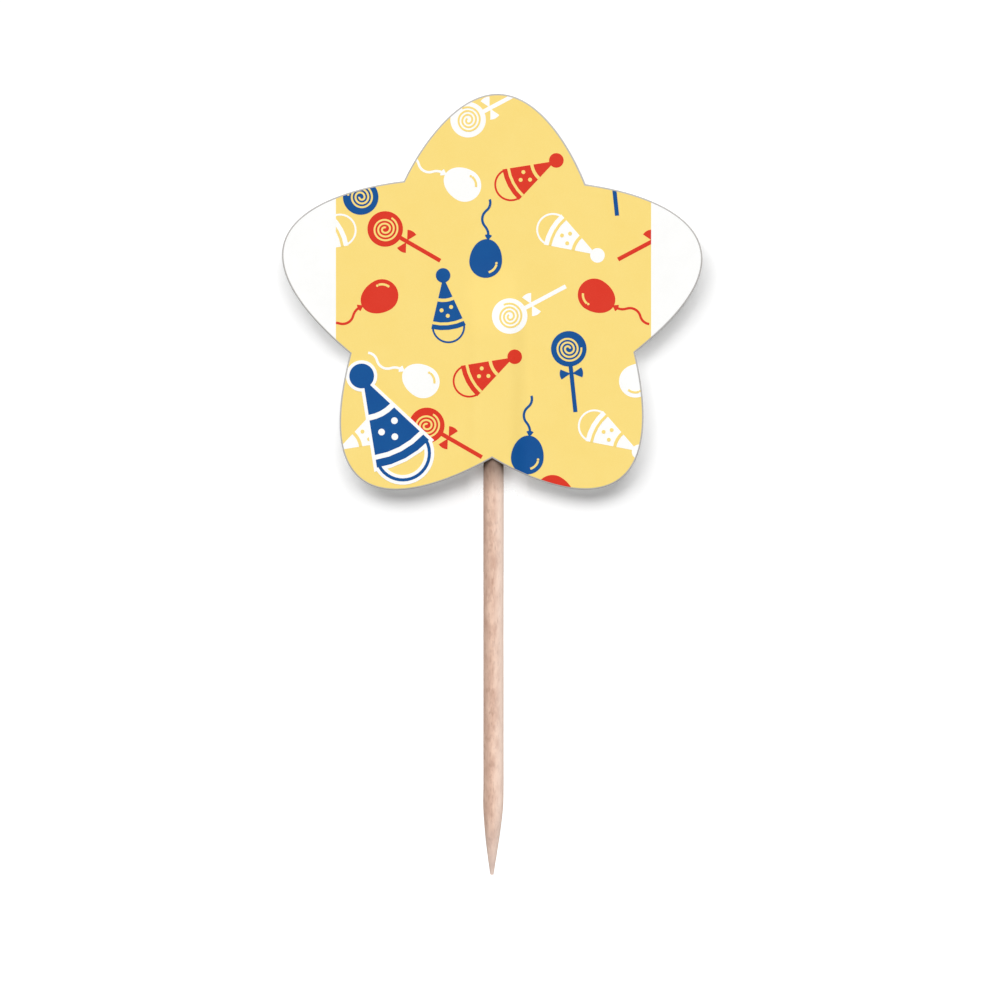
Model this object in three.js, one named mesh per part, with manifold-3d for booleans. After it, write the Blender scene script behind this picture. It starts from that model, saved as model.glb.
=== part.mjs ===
// Cupcake pick: two self-adhesive card stars closed round a pointed wooden toothpick.
// Millimetres. The toothpick's lower tip is at the origin, +Z runs up it, and the printed star faces -Y.

import * as THREE from 'three';
import { mergeVertices } from 'three/addons/utils/BufferGeometryUtils.js';
import Module from 'manifold-3d';

const wasm = await Module();
wasm.setup();

// Toothpick, the same at both ends
const stickLength = 65;
const stickDiameter = 2.2;
const taperLength = 7.8;
const tipDiameter = 0.36;
const taperSwell = 1.4; // 1 is a straight cone, more is a rounder one

// Star outline. Angles are degrees clockwise from straight up, seen from the front.
// No lobe is quite like the next, so each tip and notch has its own small lean and extra reach.
const lobeCount = 5;
const tipReach = 23.08;
const tipExtra = [-0.35, 0.05, -0.1, 0.2, 0.3];
const tipLean = [1.6, 1.8, -0.2, 1.1, -0.8];
const notchReach = 16.23;
const notchExtra = [0.15, -0.25, 0, -0.15, 0.2];
const notchLean = [1.2, 0, 0.3, -0.3, 0.6];
const flankLean = 23.2; // how far each flank leans in towards its lobe's axis as it leaves the notch
const flankPull = 3.2; // how long the flank keeps that lean
const tipPull = 4.8; // how broad the lobe's round end is

// Where the star sits on the toothpick
const stickGrip = 20.4; // stick held between the stars, from the bottom notch up
const starOffset = -0.07; // star's centre, to the left of the stick's axis

// Layers, from the front: card, its adhesive coat, the other coat and the other card
const cardThickness = 0.3;
const coatThickness = 0.05;
const layerGap = 0.03; // between a card and its coat where they bulge together
const stickGap = 0.03; // between the stick and each coat

// Ridge where the stars bulge over the stick
const frontRidge = 0.53; // the front star's share of the stick's thickness, the back star takes the rest
const frontCrest = 2.4; // width of each ridge's flat top
const backCrest = 0.8;
const ridgeSpread = 2.9; // from the stick's side to where the stars meet again
const frontRunOut = 1; // how far past the stick's end each ridge dies out
const backRunOut = 5;

// Facets
const stickSides = 32;
const taperSteps = 8;
const outlineSteps = 12;
const flankSteps = 7;
const runOutSteps = 7;

const stickRadius = stickDiameter / 2;
const shoulderHeight = stickLength - taperLength;
const starHeight = stickLength - stickGrip + notchReach;
const starMargin = tipReach * 1.1;
const ridgeFoot = stickRadius + ridgeSpread;
const backRidge = stickDiameter + 2 * stickGap - frontRidge;

// The coats meet in the bond plane, which lies in front of the stick's axis
const bondPlane = backRidge - stickGap - stickRadius;
const frontCoatFace = -bondPlane - coatThickness;
const backCoatFace = -bondPlane + coatThickness;

function polar(degrees, reach) {
  const angle = THREE.MathUtils.degToRad(degrees);
  return new THREE.Vector2(Math.sin(angle), Math.cos(angle)).multiplyScalar(reach);
}

function notchPoint(index) {
  const notch = (index + lobeCount) % lobeCount;
  const angle = ((index + 0.5) * 360) / lobeCount + notchLean[notch];
  return polar(angle, notchReach + notchExtra[notch]);
}

// The closed outline: up one flank, round the lobe's end and down the other flank, lobe after lobe
function starShape() {
  const start = notchPoint(-1);
  const shape = new THREE.Shape();
  shape.moveTo(start.x, start.y);
  for (let lobe = 0; lobe < lobeCount; lobe += 1) {
    const axis = (lobe * 360) / lobeCount + tipLean[lobe];
    const tip = polar(axis, tipReach + tipExtra[lobe]);
    const next = notchPoint(lobe);
    const leave = notchPoint(lobe - 1).add(polar(axis + flankLean, flankPull));
    const arrive = notchPoint(lobe).add(polar(axis - flankLean, flankPull));
    const broad = polar(axis + 90, tipPull);
    shape.bezierCurveTo(leave.x, leave.y, tip.x - broad.x, tip.y - broad.y, tip.x, tip.y);
    shape.bezierCurveTo(tip.x + broad.x, tip.y + broad.y, arrive.x, arrive.y, next.x, next.y);
  }
  return shape;
}

function toSolid(geometry) {
  const bare = geometry.clone();
  bare.deleteAttribute('normal');
  bare.deleteAttribute('uv');
  const merged = mergeVertices(bare);
  const vertProperties = new Float32Array(merged.getAttribute('position').array);
  const triVerts = new Uint32Array(merged.getIndex().array);
  return new wasm.Manifold(new wasm.Mesh({ numProp: 3, vertProperties, triVerts }));
}

function toGeometry(solid) {
  const mesh = solid.getMesh();
  const geometry = new THREE.BufferGeometry();
  geometry.setAttribute('position', new THREE.BufferAttribute(mesh.vertProperties, 3));
  geometry.setIndex(new THREE.BufferAttribute(mesh.triVerts, 1));
  geometry.computeVertexNormals();
  return geometry;
}

// The star as a thick upright block, which trims each layer to the outline
function starBlock() {
  const depth = 4 * stickDiameter;
  const block = new THREE.ExtrudeGeometry(starShape(), { depth, curveSegments: outlineSteps, bevelEnabled: false });
  block.translate(0, 0, -depth / 2);
  block.rotateX(Math.PI / 2);
  block.translate(starOffset, 0, starHeight);
  return toSolid(block);
}

// Evenly spaced places from one value to another, both ends included
function places(from, to, steps) {
  return Array.from({ length: steps + 1 }, (_, step) => THREE.MathUtils.lerp(from, to, step / steps));
}

// A closed sheet over a grid of columns and rows. Both faces split each cell along the same diagonal,
// so that neighbouring layers follow each other facet by facet.
function sheetBetween(columns, rows, front, back) {
  const corners = [front, back].flatMap((face) => rows.flatMap((z) => columns.flatMap((x) => [x, face(x, z), z])));
  const wide = columns.length;
  const tall = rows.length;
  const behind = wide * tall;
  const triangles = [];
  for (let row = 0; row < tall - 1; row += 1) {
    for (let column = 0; column < wide - 1; column += 1) {
      const a = row * wide + column;
      const b = a + 1;
      const c = b + wide;
      const d = a + wide;
      triangles.push(a, b, c, a, c, d);
      triangles.push(a + behind, c + behind, b + behind, a + behind, d + behind, c + behind);
    }
  }
  const bottom = columns.slice(1).map((_, column) => column);
  const right = rows.slice(1).map((_, row) => row * wide + wide - 1);
  const top = bottom.map((column) => behind - 1 - column);
  const left = rows.slice(1).map((_, row) => (tall - 1 - row) * wide);
  const rim = [...bottom, ...right, ...top, ...left];
  rim.forEach((from, index) => {
    const to = rim[(index + 1) % rim.length];
    triangles.push(from, from + behind, to + behind, from, to + behind, to);
  });
  const sheet = new THREE.BufferGeometry();
  sheet.setAttribute('position', new THREE.Float32BufferAttribute(corners, 3));
  sheet.setIndex(triangles);
  return sheet;
}

// One layer of the star: flat, with a ridge down its lower middle that bulges by `height`,
// is full up to `full` and has died out at `end`
function layer(frontFace, backFace, { height, crest, full, end }) {
  const bulge = (x, z) => {
    const across = 1 - THREE.MathUtils.smootherstep(Math.abs(x), crest / 2, ridgeFoot);
    const along = 1 - THREE.MathUtils.smoothstep(z, full, end);
    return height * across * along;
  };
  const right = [...places(crest / 2, ridgeFoot, flankSteps), starMargin];
  const columns = [...right.map((x) => -x).reverse(), ...right];
  const rows = [starHeight - starMargin, ...places(full, end, runOutSteps), starHeight + starMargin];
  const sheet = sheetBetween(columns, rows, (x, z) => frontFace + bulge(x, z), (x, z) => backFace + bulge(x, z));
  return toGeometry(toSolid(sheet).intersect(starBlock()));
}

function frontLayer(frontFace, backFace, height) {
  const end = stickLength + frontRunOut;
  return layer(frontFace, backFace, { height: -height, crest: frontCrest, full: shoulderHeight, end });
}

function backLayer(frontFace, backFace, height) {
  const full = shoulderHeight + taperLength / 2;
  return layer(frontFace, backFace, { height, crest: backCrest, full, end: stickLength + backRunOut });
}

function toothpick() {
  const tipRadius = tipDiameter / 2;
  const taper = places(0, taperLength, taperSteps).map((height) => {
    const fullness = 1 - (1 - height / taperLength) ** taperSwell;
    return new THREE.Vector2(THREE.MathUtils.lerp(tipRadius, stickRadius, fullness), height);
  });
  const upper = taper.map((point) => new THREE.Vector2(point.x, stickLength - point.y)).reverse();
  const profile = [new THREE.Vector2(0, 0), ...taper, ...upper, new THREE.Vector2(0, stickLength)];
  const stick = new THREE.LatheGeometry(profile, stickSides);
  stick.rotateX(Math.PI / 2);
  return toGeometry(toSolid(stick));
}

const frontStar = () => frontLayer(frontCoatFace - cardThickness, frontCoatFace, frontRidge + layerGap);
const frontAdhesive = () => frontLayer(frontCoatFace, -bondPlane, frontRidge);
const backAdhesive = () => backLayer(-bondPlane, backCoatFace, backRidge);
const backStar = () => backLayer(backCoatFace, backCoatFace + cardThickness, backRidge + layerGap);

function piece(name, geometry, color, roughness) {
  const mesh = new THREE.Mesh(geometry, new THREE.MeshStandardMaterial({ color, roughness, metalness: 0 }));
  mesh.name = name;
  return mesh;
}

const pick = new THREE.Group();
pick.add(
  piece('toothpick', toothpick(), 0xdebeaa, 0.7),
  piece('front_star', frontStar(), 0xfae084, 0.6),
  piece('front_adhesive', frontAdhesive(), 0xefe9d9, 0.4),
  piece('back_adhesive', backAdhesive(), 0xefe9d9, 0.4),
  piece('back_star', backStar(), 0xf6f5f1, 0.6),
);

export default pick;
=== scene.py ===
# Cupcake pick: two self-adhesive card stars closed round a pointed wooden toothpick, printed in front.
# Pieces are worked in millimetres and handed over in metres. The stars' layers are drawn lying flat,
# with x to the right, y up the star and z towards the viewer, then bent over the toothpick and stood
# upright.

import math

import bmesh
import bpy
from mathutils import Matrix, Vector, noise
from mathutils.geometry import interpolate_bezier


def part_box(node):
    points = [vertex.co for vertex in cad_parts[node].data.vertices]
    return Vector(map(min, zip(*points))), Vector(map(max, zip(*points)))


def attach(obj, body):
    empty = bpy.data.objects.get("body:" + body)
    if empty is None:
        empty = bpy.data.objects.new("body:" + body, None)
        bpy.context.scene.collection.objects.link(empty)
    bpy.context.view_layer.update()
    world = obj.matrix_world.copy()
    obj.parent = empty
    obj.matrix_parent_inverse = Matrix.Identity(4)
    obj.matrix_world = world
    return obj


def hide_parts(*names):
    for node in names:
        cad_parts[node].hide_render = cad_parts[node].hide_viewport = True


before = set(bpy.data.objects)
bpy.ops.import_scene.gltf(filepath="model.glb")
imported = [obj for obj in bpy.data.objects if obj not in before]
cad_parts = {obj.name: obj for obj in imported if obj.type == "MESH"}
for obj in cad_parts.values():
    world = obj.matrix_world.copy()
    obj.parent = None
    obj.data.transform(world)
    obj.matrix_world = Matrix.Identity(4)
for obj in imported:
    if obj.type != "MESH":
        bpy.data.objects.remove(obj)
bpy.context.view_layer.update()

MM = 0.001


def corners(node):
    """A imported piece's lowest and highest corner, in millimetres."""
    low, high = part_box(node)
    return low / MM, high / MM


# Toothpick
STICK_LENGTH = corners("toothpick")[1].z
STICK_RADIUS = corners("toothpick")[1].x
TAPER_LENGTH = 7.8
TIP_RADIUS = 0.18
TAPER_SWELL = 1.4  # 1 is a straight cone, more is a rounder one
TIP_LEAN = -0.17  # the lower point is cut a little to the left of the axis
GROOVE_DEPTH = 0.025
STICK_SIDES = 72
RING_STEP = 0.25

# Star outline, in degrees clockwise from straight up and seen from the front
LOBES = 5
TIP_REACH = 23.08
TIP_EXTRA = [-0.35, 0.05, -0.1, 0.2, 0.3]
TIP_TURN = [1.6, 1.8, -0.2, 1.1, -0.8]
NOTCH_REACH = 16.23
NOTCH_EXTRA = [0.15, -0.25, 0, -0.15, 0.2]
NOTCH_TURN = [1.2, 0, 0.3, -0.3, 0.6]
FLANK_LEAN = 23.2
FLANK_PULL = 3.2
TIP_PULL = 4.8
FLANK_POINTS = 33
STICK_GRIP = 20.4  # how much of the stick lies above the star's bottom notch
STAR_FOOT = STICK_LENGTH - STICK_GRIP
STAR_OFFSET = -0.07
STAR_CENTRE = Vector((STAR_OFFSET, STAR_FOOT + NOTCH_REACH, 0))

# Layers
CARD = 0.3
COAT = 0.05
COAT_MARGIN = 0.15  # the adhesive stops short of the cut edge
RIM_WIDTH = 0.16  # how far in the die rounds the card's outer edge
RIM_DEPTH = 0.07
RIM_STEPS = 4

# Ridge where the layers rise over the toothpick
FLANK_WIDTH = 2.9
RIDGE_FOOT = STICK_RADIUS + FLANK_WIDTH
FRONT_CREST = 2.4  # width of the ridge's flat top
BACK_CREST = 0.8
FRONT_RUN_OUT = 1  # how far past the stick's end the ridge dies out
BACK_RUN_OUT = 5
RIDGE_SCORE = 0.2  # spacing of the lines that the bend is made on
END_SCORE = 0.5

# Print
BAND_HALF = 16.85
INK = 0.008
COLUMN_STEP = 8.9
ROW_STEP = 7.0
DISC_SIDES = 40
ARC_STEP = 9  # degrees
BLOCK_RADIUS = 30  # of the block that a motif is cut from, well past the motif
KEYLINE = 0.35


def polar(degrees, reach):
    """A point at a clock angle from straight up, lying flat."""
    angle = math.radians(degrees)
    return Vector((math.sin(angle), math.cos(angle), 0)) * reach


def smoothstep(value, start, end):
    t = min(max((value - start) / (end - start), 0), 1)
    return t * t * (3 - 2 * t)


def smootherstep(value, start, end):
    t = min(max((value - start) / (end - start), 0), 1)
    return t * t * t * (t * (6 * t - 15) + 10)


def places(start, end, step):
    """Evenly spaced places from start to end, about a step apart, both ends included."""
    count = max(1, round(abs(end - start) / step))
    return [start + (end - start) * index / count for index in range(count + 1)]


# Flat work: every layer and every ink starts as flat faces

def notch_point(index):
    notch = index % LOBES
    angle = (index + 0.5) * 360 / LOBES + NOTCH_TURN[notch]
    return polar(angle, NOTCH_REACH + NOTCH_EXTRA[notch])


def star_outline():
    """Up one flank, round the lobe's end and down the other flank, lobe after lobe."""
    points = []
    for lobe in range(LOBES):
        axis = lobe * 360 / LOBES + TIP_TURN[lobe]
        tip = polar(axis, TIP_REACH + TIP_EXTRA[lobe])
        broad = polar(axis + 90, TIP_PULL)
        before = notch_point(lobe - 1)
        after = notch_point(lobe)
        leave = before + polar(axis + FLANK_LEAN, FLANK_PULL)
        arrive = after + polar(axis - FLANK_LEAN, FLANK_PULL)
        points += interpolate_bezier(before, leave, tip - broad, tip, FLANK_POINTS)[:-1]
        points += interpolate_bezier(tip, tip + broad, arrive, after, FLANK_POINTS)[:-1]
    return [point + STAR_CENTRE for point in points]


def star_blank(margin):
    """The star's outline as one flat face, drawn in by a margin."""
    sheet = bmesh.new()
    face = sheet.faces.new([sheet.verts.new(point) for point in reversed(star_outline())])
    face.normal_update()
    if margin:
        rim = bmesh.ops.inset_region(
            sheet, faces=[face], thickness=margin, use_boundary=True, use_even_offset=True
        )
        bmesh.ops.delete(sheet, geom=rim["faces"], context="FACES")
    return sheet


def everything(sheet):
    return sheet.verts[:] + sheet.edges[:] + sheet.faces[:]


def cut_across(sheet, place, direction, drop_outer=False):
    """Cuts the sheet along the plane through a place and square to a direction."""
    bmesh.ops.bisect_plane(
        sheet, geom=everything(sheet), plane_co=place, plane_no=direction, clear_outer=drop_outer
    )


def thicken(sheet, low, high):
    """Gives flat faces a thickness, from one height to another."""
    bmesh.ops.translate(sheet, verts=sheet.verts, vec=(0, 0, low))
    grown = bmesh.ops.extrude_face_region(sheet, geom=sheet.faces[:])
    lifted = [item for item in grown["geom"] if isinstance(item, bmesh.types.BMVert)]
    bmesh.ops.translate(sheet, verts=lifted, vec=(0, 0, high - low))
    bmesh.ops.recalc_face_normals(sheet, faces=sheet.faces)


def press_rim(sheet, height):
    """Rounds the rim of the face at a height down, as a die does, and marks the rim and the cut."""
    top = [face for face in sheet.faces if all(abs(vert.co.z - height) < 1e-4 for vert in face.verts)]
    for step in range(RIM_STEPS):
        outer, inner = [math.radians(90 * (step + more) / RIM_STEPS) for more in (0, 1)]
        width = RIM_WIDTH * (math.cos(outer) - math.cos(inner))
        rise = RIM_DEPTH * (math.sin(inner) - math.sin(outer))
        bmesh.ops.inset_region(sheet, faces=top, thickness=width, depth=rise, use_even_offset=True)
    flat, rounded, upright = 0, 1, 2
    for face in sheet.faces:
        face.normal_update()
        slope = abs(face.normal.z)
        face.material_index = flat if slope > 0.999 else rounded if slope > 0.01 else upright


class Ridge:
    """A rise over the toothpick with a flat crest, which dies out past the stick's end."""

    def __init__(self, rise, crest, full, end):
        self.rise = rise
        self.crest = crest
        self.full = full
        self.end = end

    def height(self, x, y):
        across = 1 - smootherstep(abs(x), self.crest / 2, RIDGE_FOOT)
        return self.rise * across * (1 - smoothstep(y, self.full, self.end))

    def bend(self, sheet):
        """Scores the sheet along the ridge and lifts it."""
        for x in places(self.crest / 2, RIDGE_FOOT, RIDGE_SCORE):
            for side in (-x, x):
                cut_across(sheet, (side, 0, 0), (1, 0, 0))
        for y in places(self.full, self.end, END_SCORE):
            cut_across(sheet, (0, y, 0), (0, 1, 0))
        for vert in sheet.verts:
            vert.co.z += self.height(vert.co.x, vert.co.y)


def meshed(work, name):
    mesh = bpy.data.meshes.new(name)
    work.to_mesh(mesh)
    work.free()
    return mesh


def hand_over(work, name, finishes, replaced=()):
    """Turns the finished work into a piece of the pick, in metres."""
    for face in work.faces:
        face.smooth = True
    for edge in work.edges:
        marks = {face.material_index for face in edge.link_faces}
        edge.smooth = len(marks) == 1 and edge.calc_face_angle(0) < math.radians(35)
    bmesh.ops.scale(work, verts=work.verts, vec=(MM, MM, MM))
    mesh = meshed(work, name)
    for finish in finishes:
        mesh.materials.append(finish)
    piece = bpy.data.objects.new(name, mesh)
    bpy.context.scene.collection.objects.link(piece)
    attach(piece, "root")
    if replaced:
        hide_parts(*replaced)


def stand_up(sheet):
    quarter_turn = Matrix.Rotation(math.radians(90), 3, "X")
    bmesh.ops.rotate(sheet, verts=sheet.verts, cent=(0, 0, 0), matrix=quarter_turn)


# Print: each motif is drawn once round its own origin and stamped wherever it comes

def disc(sheet, radius, centre, grow=0):
    place = Matrix.Translation((*centre, 0))
    made = bmesh.ops.create_circle(
        sheet, cap_ends=True, segments=DISC_SIDES, radius=radius + grow, matrix=place
    )
    return made["verts"]


def sector(sheet, centre, inner, outer, start, sweep, grow=0):
    """A pie slice, or a piece of a ring, from a start angle through a sweep, in degrees."""
    centre = Vector((*centre, 0))
    if inner:
        spare = math.degrees(grow / outer)
        inner -= grow
        start -= spare
        sweep += 2 * spare
    else:
        back = grow / math.sin(math.radians(sweep / 2))
        middle = math.radians(start + sweep / 2)
        centre -= Vector((math.cos(middle), math.sin(middle), 0)) * back
        outer += back
    heading = Vector((math.cos(math.radians(start)), math.sin(math.radians(start)), 0))
    near = sheet.verts.new(centre + heading * inner)
    far = sheet.verts.new(centre + heading * (outer + grow))
    edge = sheet.edges.new((near, far))
    steps = max(1, round(abs(sweep) / ARC_STEP))
    bmesh.ops.spin(
        sheet,
        geom=[near, far, edge],
        cent=centre,
        axis=(0, 0, 1),
        angle=math.radians(sweep),
        steps=steps,
    )


def ribbon(sheet, start, heading, width, bends, grow=0):
    """A strip of even width that sets off at a heading and follows (turn, radius) arcs, a turn of 0
    being a straight run as long as its radius."""
    point = Vector((*start, 0))
    angle = math.radians(heading)
    half = width / 2 + grow
    across = Vector((-math.sin(angle), math.cos(angle), 0)) * half
    ends = [sheet.verts.new(point - across), sheet.verts.new(point + across)]
    last = [*ends, sheet.edges.new(ends)]
    for turn, radius in bends:
        left = Vector((-math.sin(angle), math.cos(angle), 0))
        if turn:
            cent = point + left * math.copysign(radius, turn)
            sweep = math.radians(turn)
            steps = max(1, round(abs(turn) / ARC_STEP))
            made = bmesh.ops.spin(sheet, geom=last, cent=cent, axis=(0, 0, 1), angle=sweep, steps=steps)
            last = made["geom_last"]
            point = cent + Matrix.Rotation(sweep, 3, "Z") @ (point - cent)
            angle += sweep
        else:
            run = Vector((math.cos(angle), math.sin(angle), 0)) * radius
            edges = [item for item in last if isinstance(item, bmesh.types.BMEdge)]
            last = bmesh.ops.extrude_edge_only(sheet, edges=edges)["geom"]
            verts = [item for item in last if isinstance(item, bmesh.types.BMVert)]
            bmesh.ops.translate(sheet, verts=verts, vec=run)
            last = verts + [item for item in last if isinstance(item, bmesh.types.BMEdge)]
            point += run


def balloon(ink, accent, grow):
    body = disc(ink, 1.75, (0, 0), grow)
    bmesh.ops.scale(ink, vec=(1, 1.38, 1), verts=[vert for vert in body if vert.co.y < 0])
    sector(ink, (0, -2.25), 0, 0.68, -125, 70, grow)
    ribbon(ink, (0, -2.7), -90, 0.26, [(48, 1.4), (-94, 1.15), (70, 1.1)], grow)
    sector(accent, (0, 0), 1.08, 1.32, 112, 58)
    disc(accent, 0.13, (-1.17, 0.05))


def lollipop(ink, accent, grow):
    disc(ink, 1.9, (0, 0), grow)
    ribbon(ink, (0, -1.7), -90, 0.44, [(0, 5.1)], grow)
    sector(ink, (-0.1, -2.65), 0, 1.15, 152, 56, grow)
    sector(ink, (0.1, -2.65), 0, 1.15, -28, 56, grow)
    turns = [(180, 0.28 + 0.2 * half) for half in range(6)]
    ribbon(accent, (0.15, 0), 90, 0.2, turns)


def party_hat(ink, accent, grow):
    peak = (0, 2.6)
    start, sweep = -109, 38
    sector(ink, peak, 0, 5.7, start, sweep, grow)
    disc(ink, 0.78, (0, 2.75), grow)
    sector(ink, (0, -2.75), 1.58, 1.78, 180, 180, grow)
    for inner, outer in ((2.35, 2.7), (4.9, 5.2)):
        sector(accent, peak, inner, outer, start, sweep)
    for x, y in ((-0.55, -0.95), (0.5, -0.7), (0.05, -1.6)):
        disc(accent, 0.21, (x, y))


def trimmed(sheet, blank, overlapping=False):
    """What of a thick sheet lies within a thick blank, by a Boolean modifier on two passing objects."""
    kept, cutter = [bpy.data.objects.new("passing", meshed(work, "passing")) for work in (sheet, blank)]
    for passing in (kept, cutter):
        bpy.context.scene.collection.objects.link(passing)
    trim = kept.modifiers.new("trim", "BOOLEAN")
    trim.operation = "INTERSECT"
    trim.solver = "EXACT"
    trim.use_self = overlapping
    trim.object = cutter
    result = bmesh.new()
    result.from_object(kept, bpy.context.evaluated_depsgraph_get())
    for mesh in (kept.data, cutter.data):
        bpy.data.meshes.remove(mesh)
    return result


def stencil(draw, grow=0):
    """A motif's ink and its accents as two meshes one unit thick, each with its overlaps made one."""
    ink = bmesh.new()
    accent = bmesh.new()
    draw(ink, accent, grow)
    stencils = []
    for sheet in (ink, accent):
        thicken(sheet, 0, 1)
        block = bmesh.new()
        bmesh.ops.create_circle(block, cap_ends=True, segments=4, radius=BLOCK_RADIUS)
        thicken(block, -1, 2)
        stencils.append(meshed(trimmed(sheet, block, overlapping=True), draw.__name__))
    return stencils


def stamp(mesh, sheet, place):
    copy = mesh.copy()
    copy.transform(place)
    sheet.from_mesh(copy)
    bpy.data.meshes.remove(copy)


def print_place(x, y, tilt, lift, size=1):
    turn = Matrix.Rotation(math.radians(tilt), 4, "Z")
    centred = Matrix.Diagonal((size, size, 1, 1)) @ Matrix.Translation((0, lift, 0))
    return Matrix.Translation((x, y, 0)) @ turn @ centred


HAT_LIFT = 0.5
MOTIFS = [(balloon, 2.3), (party_hat, HAT_LIFT), (lollipop, 2.4)]  # each with the lift that centres it
INKS = ["red", "blue", "white"]
TILTS = [-62, 6, 118, 60, 174, -120]
PRINT_START = Vector((-18.4, 39.9, 0))
PRINT_ROWS = 7
PRINT_COLUMNS = 6
BARE_PLACE = (0, 1)  # the row and column that would show through the large motif's loop
LARGE_SIZE = 1.7
LARGE_PLACE = print_place(x=-11.5, y=48.5, tilt=28, lift=HAT_LIFT, size=LARGE_SIZE)


def scattered_print():
    """The small motifs in brick rows, each ink on a sheet of its own."""
    sheets = {name: bmesh.new() for name in [*INKS, "accents"]}
    stencils = [(*stencil(draw), lift) for draw, lift in MOTIFS]
    for row in range(PRINT_ROWS):
        for column in range(PRINT_COLUMNS):
            if (row, column) == BARE_PLACE:
                continue
            motif, accent, lift = stencils[(column + row) % len(stencils)]
            name = INKS[(column + 2 * row) % len(INKS)]
            x = PRINT_START.x + (column + row % 2 / 2) * COLUMN_STEP
            y = PRINT_START.y + row * ROW_STEP
            place = print_place(x, y, TILTS[(column + 2 * row) % len(TILTS)], lift)
            stamp(motif, sheets[name], place)
            stamp(accent, sheets["accents"], place)
    return sheets


def large_print():
    """One larger motif over the pattern, with a pale line round it."""
    sheets = {name: bmesh.new() for name in ("keyline", "large", "details")}
    motif, accent = stencil(party_hat)
    border = stencil(party_hat, KEYLINE / LARGE_SIZE)[0]
    for mesh, name in ((border, "keyline"), (motif, "large"), (accent, "details")):
        stamp(mesh, sheets[name], LARGE_PLACE)
    return sheets


def print_area():
    """The front card's flat face between the band's two straight sides."""
    sheet = star_blank(RIM_WIDTH)
    for side in (-1, 1):
        cut_across(sheet, (side * BAND_HALF, 0, 0), (side, 0, 0), drop_outer=True)
    return sheet


# Toothpick

def stick_radius(height):
    """Blunt point, rounded taper and straight shaft, the same from either end."""
    from_end = min(height, STICK_LENGTH - height)
    if from_end >= TAPER_LENGTH:
        return STICK_RADIUS
    fullness = 1 - (1 - from_end / TAPER_LENGTH) ** TAPER_SWELL
    return TIP_RADIUS + (STICK_RADIUS - TIP_RADIUS) * fullness


def toothpick(finish):
    stick = bmesh.new()
    heights = places(0, STICK_LENGTH, RING_STEP)
    profile = [Vector((0, 0, 0))]
    profile += [Vector((stick_radius(height), 0, height)) for height in heights]
    profile.append(Vector((0, 0, STICK_LENGTH)))
    verts = [stick.verts.new(point) for point in profile]
    edges = [stick.edges.new(pair) for pair in zip(verts, verts[1:])]
    bmesh.ops.spin(
        stick,
        geom=verts + edges,
        cent=(0, 0, 0),
        axis=(0, 0, 1),
        angle=math.tau,
        steps=STICK_SIDES,
        use_merge=True,
    )
    bmesh.ops.remove_doubles(stick, verts=stick.verts, dist=1e-4)
    bmesh.ops.recalc_face_normals(stick, faces=stick.faces)
    for vert in stick.verts:
        out = Vector((vert.co.x, vert.co.y, 0))
        if out.length > TIP_RADIUS / 2:
            fibre = noise.noise(Vector((out.x * 6, out.y * 6, vert.co.z * 0.25)))
            swell = noise.noise(Vector((out.x * 0.7, out.y * 0.7, vert.co.z * 0.12 + 7)))
            vert.co -= out.normalized() * GROOVE_DEPTH * (0.5 + 0.3 * fibre + 0.4 * swell)
        vert.co.x += TIP_LEAN * (1 - smoothstep(vert.co.z, 0, TAPER_LENGTH * 1.3))
    hand_over(stick, "wooden_toothpick", [finish], ["toothpick"])


# Materials

def tint(code):
    """A colour's hexadecimal code as linear red, green, blue and alpha."""
    parts = [(code >> shift & 255) / 255 for shift in (16, 8, 0)]
    linear = [part / 12.92 if part <= 0.04045 else ((part + 0.055) / 1.055) ** 2.4 for part in parts]
    return (*linear, 1)


class Wire:
    """A value in a material, on which arithmetic adds Math nodes."""

    def __init__(self, finish, socket):
        self.finish = finish
        self.socket = socket

    def math(self, operation, first, second):
        return self.finish.node("ShaderNodeMath", {"operation": operation}, {0: first, 1: second})

    def __add__(self, other):
        return self.math("ADD", self, other)

    def __sub__(self, other):
        return self.math("SUBTRACT", self, other)

    def __rsub__(self, other):
        return self.math("SUBTRACT", other, self)

    def __mul__(self, other):
        return self.math("MULTIPLY", self, other)

    __radd__ = __add__
    __rmul__ = __mul__


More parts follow.
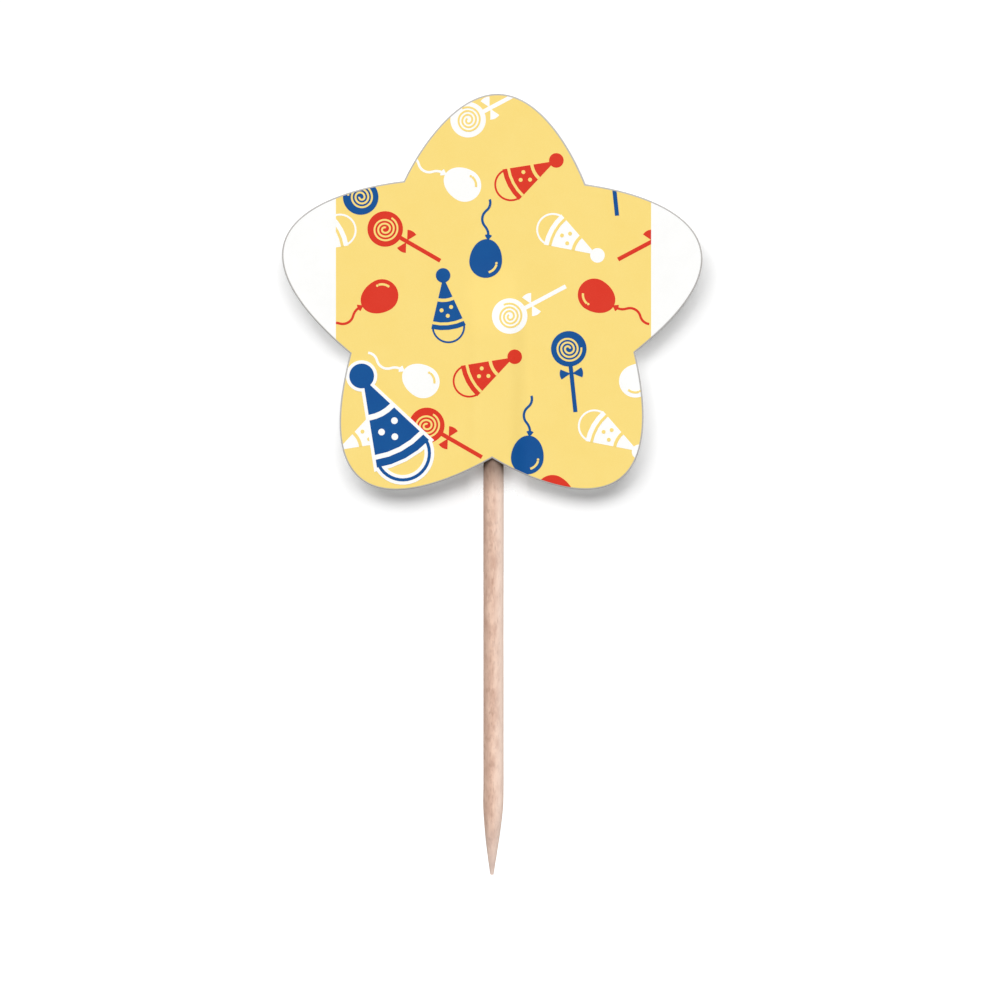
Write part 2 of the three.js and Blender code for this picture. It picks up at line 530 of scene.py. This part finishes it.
class Finish:
    """A material in the making."""

    def __init__(self, name, constants):
        self.material = bpy.data.materials.new(name)
        self.material.use_nodes = True
        self.tree = self.material.node_tree
        self.shader = self.tree.nodes["Principled BSDF"]
        for socket, value in constants.items():
            self.shader.inputs[socket].default_value = value

    def node(self, kind, settings, inputs, output=0):
        made = self.tree.nodes.new(kind)
        for name, value in settings.items():
            setattr(made, name, value)
        for key, value in inputs.items():
            if isinstance(value, Wire):
                self.tree.links.new(value.socket, made.inputs[key])
            else:
                made.inputs[key].default_value = value
        return Wire(self, made.outputs[output])

    def grain(self, size, stretch=(1, 1, 1), detail=2, shift=0):
        """Noise over the piece, with features of a size in millimetres, drawn out by a stretch."""
        spot = self.node("ShaderNodeTexCoord", {}, {}, "Object")
        scale = [1 / (MM * size * length) for length in stretch]
        mapping = {"Vector": spot, "Location": (shift,) * 3, "Scale": scale}
        place = self.node("ShaderNodeMapping", {}, mapping)
        return self.node("ShaderNodeTexNoise", {}, {"Vector": place, "Scale": 1, "Detail": detail})

    def place(self, axis):
        """How far along an axis a point of the piece lies, in millimetres."""
        spot = self.node("ShaderNodeTexCoord", {}, {}, "Object")
        return self.node("ShaderNodeSeparateXYZ", {}, {"Vector": spot}, axis) * (1 / MM)

    def span(self, value, low, high):
        """The value's way from low to high, as 0 to 1."""
        return self.node("ShaderNodeMapRange", {}, {"Value": value, "From Min": low, "From Max": high})

    def blend(self, share, first, second):
        """A share of the second colour over the first."""
        inputs = {0: share, 6: first, 7: second}
        return self.node("ShaderNodeMix", {"data_type": "RGBA"}, inputs, 2)

    def wear(self, colour, roughness, height, depth, strength):
        """Feeds the shader, with a relief of a depth in millimetres."""
        relief = {"Height": height, "Distance": depth * MM, "Strength": strength}
        normal = self.node("ShaderNodeBump", {}, relief)
        for socket, value in (("Base Color", colour), ("Roughness", roughness), ("Normal", normal)):
            self.tree.links.new(value.socket, self.shader.inputs[socket])
        return self.material


def coated_card():
    """White board with a smooth matt coat: clouds in the sheet and a fine tooth."""
    finish = Finish("coated_card", {"Specular IOR Level": 0.35})
    clouds = finish.span(finish.grain(2.2, detail=3), 0.3, 0.7)
    tooth = finish.grain(0.09, detail=3)
    fibres = finish.grain(0.12, (4, 4, 1), shift=5)
    share = clouds * 0.6 + finish.span(tooth, 0.35, 0.7) * 0.4
    colour = finish.blend(share, tint(0xF9F9F7), tint(0xFEFEFD))
    return finish.wear(colour, 0.56 + 0.1 * tooth, tooth + 0.6 * fibres, 0.006, 0.5)


def cut_edge(name, dark, pale):
    """The card's die-rounded rim and cut edge, in two given tones: fibres in layers."""
    finish = Finish(name, {"Specular IOR Level": 0.2})
    plies = finish.grain(0.06, (30, 1, 30), detail=2)
    tufts = finish.grain(0.12, detail=3, shift=3)
    share = finish.span(plies * 0.5 + tufts * 0.5, 0.35, 0.65)
    colour = finish.blend(share, tint(dark), tint(pale))
    return finish.wear(colour, 0.8 + 0.12 * tufts, plies + tufts, 0.02, 0.6)


def ink(name, code, thin_code):
    """Matt ink on card: a little thinner on the tooth's peaks and in faint clouds."""
    finish = Finish(name, {"Specular IOR Level": 0.15})
    clouds = finish.span(finish.grain(3.1, detail=3), 0.3, 0.7)
    tooth = finish.grain(0.09, detail=3)
    share = finish.span(tooth, 0.45, 0.75) * 0.6 + clouds * 0.4
    colour = finish.blend(share, tint(code), tint(thin_code))
    return finish.wear(colour, 0.5 + 0.12 * tooth, tooth, 0.006, 0.5)


def dried_adhesive():
    """Milky adhesive coat, a little stringy where it was pulled."""
    finish = Finish("dried_adhesive", {"Specular IOR Level": 0.5})
    strings = finish.grain(0.25, (1, 1, 6), detail=3)
    cells = finish.grain(0.5, detail=2, shift=2)
    colour = finish.blend(finish.span(strings, 0.35, 0.65), tint(0xE6DFCC), tint(0xF3EFE2))
    return finish.wear(colour, 0.3 + 0.2 * cells, strings + cells, 0.02, 0.5)


def birch():
    """Bare birch: fine fibres, short mottled flecks and open pores, paler at the cut point, with
    painted light on its right side, painted shade on its left, and a painted shadow of the star just
    below it."""
    finish = Finish("birch", {"Specular IOR Level": 0.25})
    fibres = finish.grain(0.14, (1, 1, 16), detail=3)
    mottle = finish.grain(0.72, (1, 1, 2.4), detail=3, shift=4)
    flecks = finish.span(finish.grain(0.42, (1, 1, 2.2), detail=2, shift=9), 0.54, 0.68)
    pores = finish.span(finish.grain(0.08, (1, 1, 9), detail=2, shift=6), 0.62, 0.74)
    across, up = finish.place("X"), finish.place("Z")
    tone = finish.span(fibres * 0.2 + mottle * 0.8, 0.36, 0.64)
    # painted light on the stick's right side and painted shade on its left, across x
    painted_lit_side = finish.span(across + mottle * 0.8, 0.3, 1.2)
    painted_shade_side = finish.span(across + mottle * 0.5, 0.25, -0.45)
    # painted shadow: the wood darkens towards the star's foot, standing in for the star's shadow on the
    # stick
    painted_shadow = finish.span(up + mottle, STAR_FOOT - 3.3, STAR_FOOT - 0.3)
    cut_point = finish.span(up + mottle, 7, 0.5)
    colour = finish.blend(tone, tint(0xD6AF9B), tint(0xF2CFB9))
    colour = finish.blend(flecks * 0.45, colour, tint(0xB98F7C))
    # painted light on the right side, then painted shade on the left
    colour = finish.blend(painted_lit_side * 0.75, colour, tint(0xFFE6D6))
    colour = finish.blend(painted_shade_side * 0.3, colour, tint(0xA88C7C))
    colour = finish.blend(pores * 0.4, colour, tint(0x9A7460))
    # painted shadow of the star over the top of the free stick
    colour = finish.blend(painted_shadow * 0.8, colour, tint(0x6A5548))
    colour = finish.blend(cut_point * 0.5, colour, tint(0xF2E4DC))
    return finish.wear(colour, 0.62 + 0.2 * fibres, fibres - 0.5 * pores, 0.03, 0.8)


# Stars and print

def front_heights(node, thickness):
    """A front layer's inner and outer height, and its ridge's rise, lying flat."""
    low, high = corners(node)
    outer = thickness - high.y
    return -high.y, outer, -low.y - outer


def back_heights(node, thickness):
    low, high = corners(node)
    outer = -low.y - thickness
    return -low.y, outer, -high.y - outer


def front_ridge(rise):
    full = STICK_LENGTH - TAPER_LENGTH
    return Ridge(rise, FRONT_CREST, full, end=STICK_LENGTH + FRONT_RUN_OUT)


def back_ridge(rise):
    full = STICK_LENGTH - TAPER_LENGTH / 2
    return Ridge(rise, BACK_CREST, full, end=STICK_LENGTH + BACK_RUN_OUT)


def star_layer(name, node, thickness, side, finishes, margin=0, rounded=True):
    """A layer of card or adhesive in the place of a packed one, by its side's heights and ridge."""
    heights, ridge = side
    inner, outer, rise = heights(node, thickness)
    sheet = star_blank(margin)
    if rounded:
        edge = outer + math.copysign(RIM_DEPTH, inner - outer)
        thicken(sheet, min(inner, edge), max(inner, edge))
        press_rim(sheet, edge)
    else:
        thicken(sheet, min(inner, outer), max(inner, outer))
    ridge(rise).bend(sheet)
    stand_up(sheet)
    hand_over(sheet, name, finishes, [node])


def ink_film(name, sheet, level, finish):
    """Lays an ink, cut one unit thick, on the front card: it ends a number of films above the card."""
    face, rise = front_heights("front_star", CARD)[1:]
    bmesh.ops.scale(sheet, verts=sheet.verts, vec=(1, 1, INK * (level + 1)))
    bmesh.ops.translate(sheet, verts=sheet.verts, vec=(0, 0, face - INK))
    front_ridge(rise).bend(sheet)
    stand_up(sheet)
    hand_over(sheet, name, [finish])


def stars():
    """Both cards, and the adhesive coats between them."""
    front = (front_heights, front_ridge)
    back = (back_heights, back_ridge)
    card = coated_card()
    # the front card's rounded rim is painted grey: painted shade round the star's edge
    shaded_rim = cut_edge("painted_shade_rim", 0xB2AFAC, 0xC1BEBB)
    cut = cut_edge("cut_edge", 0xDEDBD5, 0xEEECE8)
    star_layer("front_card", "front_star", CARD, front, [card, shaded_rim, cut])
    star_layer("back_card", "back_star", CARD, back, [card, cut, cut])
    coats = [("front_coat", "front_adhesive", front), ("back_coat", "back_adhesive", back)]
    finishes = [dried_adhesive()]
    for name, node, side in coats:
        star_layer(name, node, COAT, side, finishes, margin=COAT_MARGIN, rounded=False)


def printed_inks():
    """The yellow ground, and over it every further ink, each a film higher than the last."""
    yellow = ink("yellow_ink", 0xF8DA7B, 0xFADF86)
    red = ink("red_ink", 0xD9301C, 0xDE3D29)
    blue = ink("blue_ink", 0x004B90, 0x085697)
    white = ink("white_ink", 0xFBFBF8, 0xFFFFFF)
    ground = print_area()
    thicken(ground, 0, 1)
    ink_film("yellow_ground", ground, 1, yellow)
    small = scattered_print()
    large = large_print()
    films = [
        ("white_motifs", small["white"], white),
        ("red_motifs", small["red"], red),
        ("blue_motifs", small["blue"], blue),
        ("motif_accents", small["accents"], yellow),
        ("large_motif_edge", large["keyline"], white),
        ("large_motif", large["large"], blue),
        ("large_motif_details", large["details"], white),
    ]
    for level, (name, sheet, finish) in enumerate(films, 2):
        area = print_area()
        thicken(area, -1, 2)
        ink_film(name, trimmed(sheet, area), level, finish)


# Stage

CAMERA_PLACE = Vector((0.696, -594.9, 40.12))
LENS = 200
SENSOR = 36
FLOOR_SHADE = 1.3
FLOOR_RADIUS = 2500
BACKDROP_SHADE = 1.02
BACKDROP_GAP = 0.3  # behind the back star's ridge
BACKDROP_HALF = 30
BACKDROP_FOOT = 36
BACKDROP_TOP = 90
BACKDROP_TURN = 0.004  # keeps it from showing as a line when the pick is seen edge-on from the right
FADE_MIDDLE = 0.5
FADE_SIDES = (3.4, 1.7)  # how far to each side the fade starts and is full
FADE_HEIGHTS = (43.6, 40.4)


def sun(name, towards, strength, spread):
    """A soft distant light: where it comes from, what it gives a surface that faces it, its width."""
    light = bpy.data.lights.new(name, "SUN")
    light.energy = strength * math.pi
    light.angle = math.radians(spread)
    lamp = bpy.data.objects.new(name, light)
    lamp.rotation_euler = Vector(towards).to_track_quat("Z", "Y").to_euler()
    bpy.context.scene.collection.objects.link(lamp)


def sky(light, seen):
    """An even white surround, which lights the pick less than it shows behind it."""
    world = bpy.data.worlds.new("surround")
    world.use_nodes = True
    tree = world.node_tree
    tree.nodes.clear()
    path = tree.nodes.new("ShaderNodeLightPath")
    mix = tree.nodes.new("ShaderNodeMixShader")
    output = tree.nodes.new("ShaderNodeOutputWorld")
    tree.links.new(path.outputs["Is Camera Ray"], mix.inputs[0])
    for slot, strength in ((1, light), (2, seen)):
        shade = tree.nodes.new("ShaderNodeBackground")
        shade.inputs["Strength"].default_value = strength
        shade.inputs["Color"].default_value = (1, 1, 1, 1)
        tree.links.new(shade.outputs[0], mix.inputs[slot])
    tree.links.new(mix.outputs[0], output.inputs[0])
    bpy.context.scene.world = world


def matt_white(name, shade):
    colour = (shade, shade, shade, 1)
    return Finish(name, {"Base Color": colour, "Roughness": 1, "Specular IOR Level": 0})


def stage_piece(name, work, finish):
    bmesh.ops.scale(work, verts=work.verts, vec=(MM, MM, MM))
    mesh = meshed(work, name)
    mesh.materials.append(finish.material)
    piece = bpy.data.objects.new(name, mesh)
    bpy.context.scene.collection.objects.link(piece)
    return piece


def floor():
    work = bmesh.new()
    bmesh.ops.create_circle(work, cap_ends=True, segments=64, radius=FLOOR_RADIUS)
    piece = stage_piece("floor", work, matt_white("floor", FLOOR_SHADE))
    piece.visible_diffuse = False


def backdrop():
    """A white card close behind the star, seen from the front only, which fades out behind the free
    toothpick so that just the star casts a shadow."""
    work = bmesh.new()
    behind = corners("back_star")[1].y + BACKDROP_GAP
    left, right = -BACKDROP_HALF, BACKDROP_HALF
    low, high = BACKDROP_FOOT, BACKDROP_TOP
    outline = [(left, low), (right, low), (right, high), (left, high)]
    work.faces.new([work.verts.new((x, behind - BACKDROP_TURN * x, z)) for x, z in outline])
    finish = matt_white("backdrop", BACKDROP_SHADE)
    from_middle = finish.place("X") - FADE_MIDDLE
    aside = finish.node("ShaderNodeMath", {"operation": "ABSOLUTE"}, {0: from_middle})
    near_stick = finish.span(aside, *FADE_SIDES) * finish.span(finish.place("Z"), *FADE_HEIGHTS)
    from_behind = finish.node("ShaderNodeNewGeometry", {}, {}, "Backfacing")
    alpha = (1 - from_behind) * (1 - near_stick)
    finish.tree.links.new(alpha.socket, finish.shader.inputs["Alpha"])
    piece = stage_piece("backdrop", work, finish)
    piece.visible_diffuse = False
    piece.visible_glossy = False
    piece.visible_transmission = False
    piece.visible_volume_scatter = False
    piece.visible_shadow = False


def camera():
    lens = bpy.data.cameras.new("camera")
    lens.lens = LENS
    lens.sensor_width = SENSOR
    eye = bpy.data.objects.new("camera", lens)
    eye.location = CAMERA_PLACE * MM
    eye.rotation_euler = (math.radians(90), 0, 0)
    bpy.context.scene.collection.objects.link(eye)
    bpy.context.scene.camera = eye


stars()
toothpick(birch())
printed_inks()
camera()
sky(0.22, 1.05)
sun("left_key", (-0.5, -1, 0.6), 0.495, 34)
sun("right_key", (0.16, -1, 0.6), 0.45, 34)
sun("side_fill", (1, -0.25, 0.1), 0.12, 30)
sun("rim_light", (1, 0.25, 0.1), 0.33, 30)
sun("back_fill", (-0.3, 1, 0.5), 0.5, 70)
floor()
backdrop()
bpy.context.scene.view_settings.view_transform = "Standard"
